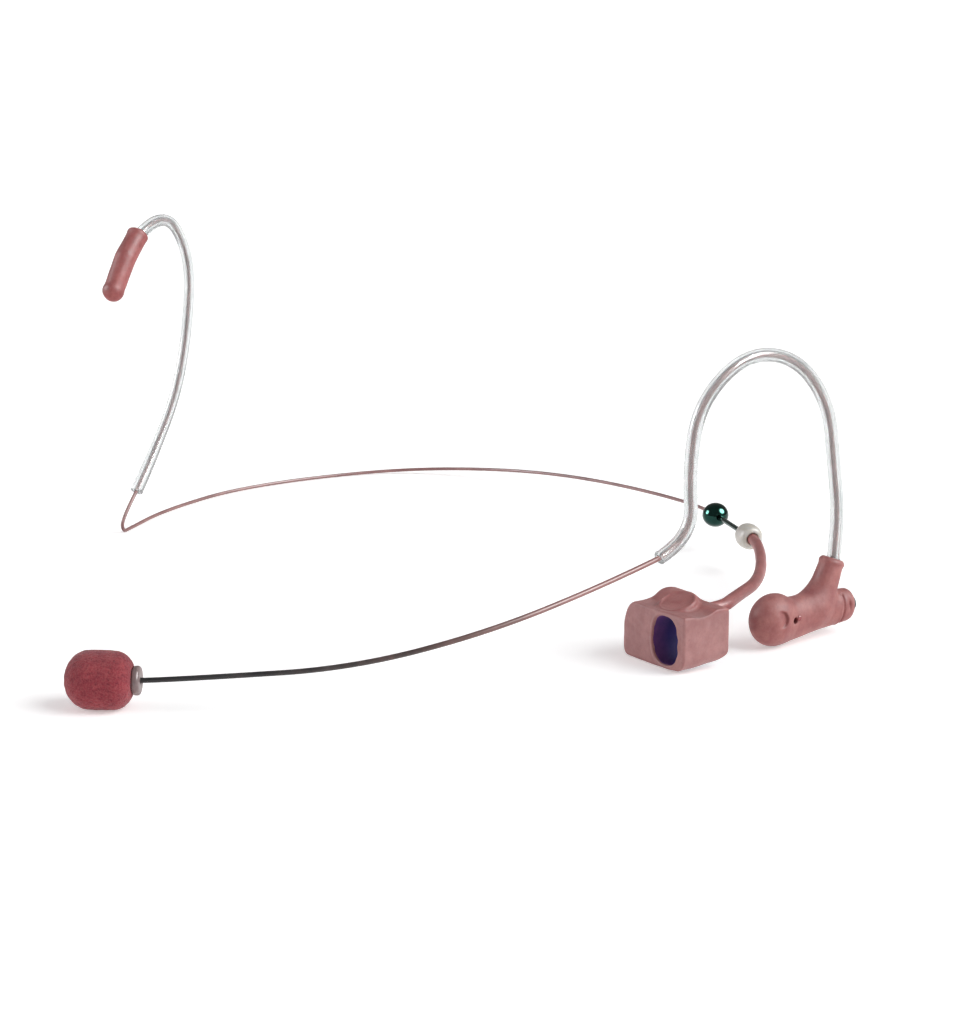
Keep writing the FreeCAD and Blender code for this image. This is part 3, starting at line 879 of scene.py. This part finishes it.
def block_dome(p):
    """Round ridge on top, and beside it a slanting round facet with a raised rim."""
    offset = p - FACET_MIDDLE
    height = offset @ FACET_UP
    aside = np.linalg.norm(offset - height[..., None] * FACET_UP, axis=-1)
    rim = 0.38 * hump(aside - FACET_R, 0.26)
    button = blend_max(aside - FACET_R - 0.45, height - rim, 0.35)
    button = np.maximum(button, -5 - height)
    ridge = taper(p, (-8.6, -20.8, 10.7), (-4.0, -21.2, 10.8), 4.0, 4.1)
    ridge = blend_max(ridge, -np.maximum(aside - FACET_R - 0.2, -height), 0.25)
    return blend_min(ridge, button, 0.5)


def block_field(p):
    y = p[..., 1]
    body = block_body(p)
    scoop = bore(p, SCOOP_BOTTOM + vec(0, 0, SCOOP_R), (1, 0, -0.09), SCOOP_R)
    scoop = blend_max(scoop, beyond(p, (-0.4, -23.9, 12), (-1, 0.10, 0)), 0.5)
    body = blend_max(body, -scoop, 0.25)
    body = blend_min(body, block_dome(p), 0.9)
    body = body + 0.10 * ripple(p, 4.5, 21) + 0.04 * ripple(p, 1.6, 22)
    lip = 0.28 * hump(slot_field(p, 0.35), 0.45) * step(BLOCK_FRONT + 1.2 - y, 0, 1.0)
    body = blend_max(body - lip, -slot_field(p, 0.0), 0.3)
    hose = bore(p, BAND_TUBE[0], vec(*BAND_TUBE[1]) - vec(*BAND_TUBE[0]), HOSE_HOLE_R)
    hose = np.maximum(hose, -21.0 - y)
    return blend_max(body, -hose, 0.3)


def build_block():
    low = (BLOCK_LEFT - 1, BLOCK_FRONT - 1.2, -0.8)
    high = (BLOCK_RIGHT + 1, BLOCK_BACK + 1, 17.0)
    points, quads = skin(block_field, low, high, 0.16)
    return stand_for(make_piece("clip_block_finish", points, quads, BLOCK_PAINT), "clip_block")


def liner_field(p):
    """Thin sleeve just inside the slot, with an uneven front edge, cut flush with the block."""
    y = p[..., 1]
    wall = np.abs(slot_field(p, LINER_GAP)) - LINER_HALF
    angle = np.arctan2(p[..., 2] - AXIS_Z, p[..., 0])
    edge = BLOCK_FRONT + 0.28 + 0.10 * np.sin(5 * angle + 1.3) + 0.08 * np.sin(11 * angle)
    sleeve = np.maximum(wall, edge - y)
    return np.maximum(sleeve, np.maximum(y - BLOCK_BACK + 0.8, block_body(p) + 0.05))


def build_liner():
    low = (-5.2, BLOCK_FRONT - 0.5, -0.2)
    high = (5.2, BLOCK_BACK + 0.5, 12.6)
    points, quads = skin(liner_field, low, high, 0.11)
    piece = make_piece("slot_liner_finish", points, quads, FINISHES["navy_liner"])
    return stand_for(piece, "slot_liner")


def build_hose():
    """Rubber hose that narrows from the block to the collar."""
    line = spaced(spline_points(BAND_TUBE), 0.5)
    share = np.linspace(0, 1, len(line))
    outer = 1.42 - 0.18 * step(share, 0.15, 0.8) + 0.025 * ripple(line, 3, 31)
    inner = 0.75 + 0.32 * step(share, 0.80, 0.92)
    points, faces = swept(line, tube_rings(line, outer, inner), 40, closed=True)
    return stand_for(make_piece("band_tube_finish", points, faces, HOSE_PAINT), "band_tube")


def build_band_collar():
    """Ivory barrel, open at the hose end."""
    outline = [(2.2, 1.30), (0.25, 1.30), (0.0, 1.45), (-0.05, 1.85), (0.15, 2.35), (0.9, 2.85),
               (2.4, 3.05), (3.9, 2.95), (5.1, 2.5), (5.8, 1.8), (6.0, 1.15), (5.95, 0.72),
               (4.2, 0.70), (2.2, 0.70)]
    profile = softened(outline + outline[:1], 2)
    points, faces = turned(profile, COLLAR_START, ROD_AXIS, 96, closed=True)
    return stand_for(make_piece("band_collar_finish", points, faces, FINISHES["ivory_plastic"]),
                     "band_collar")


# ---- ball and far cap -----------------------------------------------------------------------
BALL_HALF = (3.08, 3.22, 2.98)  # along the rod, across it and up
ROD_HOLE_R = 0.66
CAP_R = 2.62
KNOB_R = 2.70


def build_ball():
    """Mirror ball, a little wide, with a small lip round the rod's hole."""
    length, width, height = BALL_HALF
    angles = np.linspace(math.radians(14), math.pi, 60)
    outside = [(-length * math.cos(a), math.sin(a)) for a in angles]
    hole = ROD_HOLE_R / height
    inside = [(-0.5, 0.0), (-0.5, hole), (-2.7, hole), (-2.95, hole * 1.05)]
    points, faces = turned(inside + outside, BALL_MIDDLE, ROD_AXIS, 128)
    offset = points - BALL_MIDDLE
    along = (offset @ ROD_AXIS)[:, None] * ROD_AXIS
    up = offset * vec(0, 0, 1)
    points = BALL_MIDDLE + along + up * height + (offset - along - up) * width
    piece = make_piece("slide_ball_finish", points, faces, FINISHES["green_gloss"])
    return stand_for(piece, "slide_ball")


def cap_field(p):
    """Bent sleeve with a knob on its end, hollow where the tube goes in."""
    top, middle, tip = [vec(*point) for point in CAP_ROUTE]
    shaft_end = tip + unit(middle - tip) * 1.6
    upper = taper(p, top, middle, CAP_R, CAP_R + 0.04)
    lower = taper(p, middle, shaft_end, CAP_R + 0.04, CAP_R - 0.06)
    body = blend_min(np.minimum(upper, lower), ball(p, tip, KNOB_R), 0.3)
    along = unit(top - middle)
    body = blend_max(body, beyond(p, top, along), 0.9)
    rim = -0.12 * hump((p - top) @ along + 0.8, 0.6)
    entry = vec(*FAR_HOOK[-1])
    way = bore(p, entry, entry - vec(*FAR_HOOK[-2]), TUBE_R + 0.22)
    way = np.maximum(way, beyond(p, entry, entry - vec(*FAR_HOOK[-2])))
    body = blend_max(body + rim, -way, 0.3)
    return body + 0.05 * ripple(p, 3.0, 41) + 0.025 * ripple(p, 1.2, 42)


def build_cap():
    low = np.min(CAP_ROUTE, 0) - 3.6
    high = np.max(CAP_ROUTE, 0) + 3.6
    points, quads = skin(cap_field, low, high, 0.17)
    return stand_for(make_piece("end_cap_far_finish", points, quads, CAP_PAINT), "end_cap_far")


# ---- floor, light and camera ------------------------------------------------------------------
VIEW_AZIMUTH = 55.0
VIEW_PITCH = 14.0
VIEW_DISTANCE = 0.55
VIEW_TARGET = Vector((0.0404, 0.0080, 0.0249))
VIEW_LENS = 94.34
VIEW_SENSOR = 36.0


def build_floor():
    """Wide pale floor that gives off some light, as a light table does."""
    half = 12.0
    mesh = bpy.data.meshes.new("floor")
    corners = [(-half, -half, 0), (half, -half, 0), (half, half, 0), (-half, half, 0)]
    mesh.from_pydata(corners, [], [(0, 1, 2, 3)])
    paint = new_material("pale_floor", Roughness=0.9, Specular_IOR_Level=0.1,
                         Emission_Color=(1, 1, 1, 1), Emission_Strength=0.37)
    clouds = noise(paint, 40, 2, 0.5)
    pale = ramp(paint, clouds, [(0.3, (0.90, 0.90, 0.90)), (0.7, (0.91, 0.91, 0.91))])
    attach(paint, Base_Color=pale)
    mesh.materials.append(paint)
    floor = bpy.data.objects.new("floor", mesh)
    bpy.context.scene.collection.objects.link(floor)


def from_view(right, toward, up):
    """A direction given as the viewer sees it: to the right, towards the viewer, and up."""
    azimuth = math.radians(VIEW_AZIMUTH)
    rightward = Vector((math.cos(azimuth), math.sin(azimuth), 0))
    towards = Vector((math.sin(azimuth), -math.cos(azimuth), 0))
    return rightward * right + towards * toward + Vector((0, 0, up))


def build_light(name, direction, strength, spread, colour, mirrors_only=False):
    """Distant lamp, spread over that many degrees; mirrors_only leaves it to reflections."""
    light = bpy.data.lights.new(name, "SUN")
    light.energy = strength
    light.angle = math.radians(spread)
    light.color = colour
    lamp = bpy.data.objects.new(name, light)
    lamp.rotation_mode = "QUATERNION"
    lamp.rotation_quaternion = direction.to_track_quat("Z", "Y")
    lamp.visible_diffuse = not mirrors_only
    lamp.visible_transmission = not mirrors_only
    bpy.context.scene.collection.objects.link(lamp)


def build_lights():
    """A key and a side light, each with a bright copy for the highlights on gloss."""
    key = from_view(0.764, 0.242, 0.591)
    side = from_view(-0.925, 0.023, 0.375)
    build_light("key", key, 2.5, 48, (0.96, 1.0, 1.0))
    build_light("side", side, 0.85, 40, (0.98, 0.95, 1.0))
    build_light("key_glint", key, 8.5, 35, (1.0, 1.0, 1.0), mirrors_only=True)
    build_light("side_glint", side, 4.4, 27, (1.0, 1.0, 1.0), mirrors_only=True)


def build_world():
    """Soft light from all round."""
    world = bpy.data.worlds.new("studio")
    world.use_nodes = True
    background = world.node_tree.nodes["Background"]
    background.inputs["Color"].default_value = (1.0, 0.94, 0.94, 1)
    background.inputs["Strength"].default_value = 0.28
    bpy.context.scene.world = world


def build_camera():
    camera = bpy.data.cameras.new("camera")
    camera.sensor_fit = "HORIZONTAL"
    camera.sensor_width = VIEW_SENSOR
    camera.lens = VIEW_LENS
    holder = bpy.data.objects.new("camera", camera)
    pitch = math.radians(VIEW_PITCH)
    back = from_view(0, math.cos(pitch), math.sin(pitch))
    holder.location = VIEW_TARGET + back * VIEW_DISTANCE
    holder.rotation_euler = (math.radians(90 - VIEW_PITCH), 0, math.radians(VIEW_AZIMUTH))
    bpy.context.scene.collection.objects.link(holder)
    bpy.context.scene.camera = holder


# ---- the whole object ------------------------------------------------------------------------------
def paint_cad_nodes():
    """Inner pieces and the rod keep their CAD shape and take a finish."""
    for node, obj in frame["nodes"].items():
        obj.data.materials.clear()
        obj.data.materials.append(FINISHES[SLOT_OF[node]])
        obj.data.shade_smooth()


paint_cad_nodes()
build_camera()
build_moulding()
build_hole_shade_dot()
build_tube("ear_tube_near_finish", "ear_tube_near", NEAR_HOOK, NEAR_BORE_R, 0.0)
build_near_wire()
build_boom()
build_mic_collar()
build_foam()
build_block()
build_liner()
build_hose()
build_band_collar()
build_ball()
build_band()
build_tube("ear_tube_far_finish", "ear_tube_far", FAR_HOOK, FAR_BORE_R, 0.25)
build_cap()

build_floor()
build_world()
build_lights()
bpy.context.scene.view_settings.view_transform = "Standard"
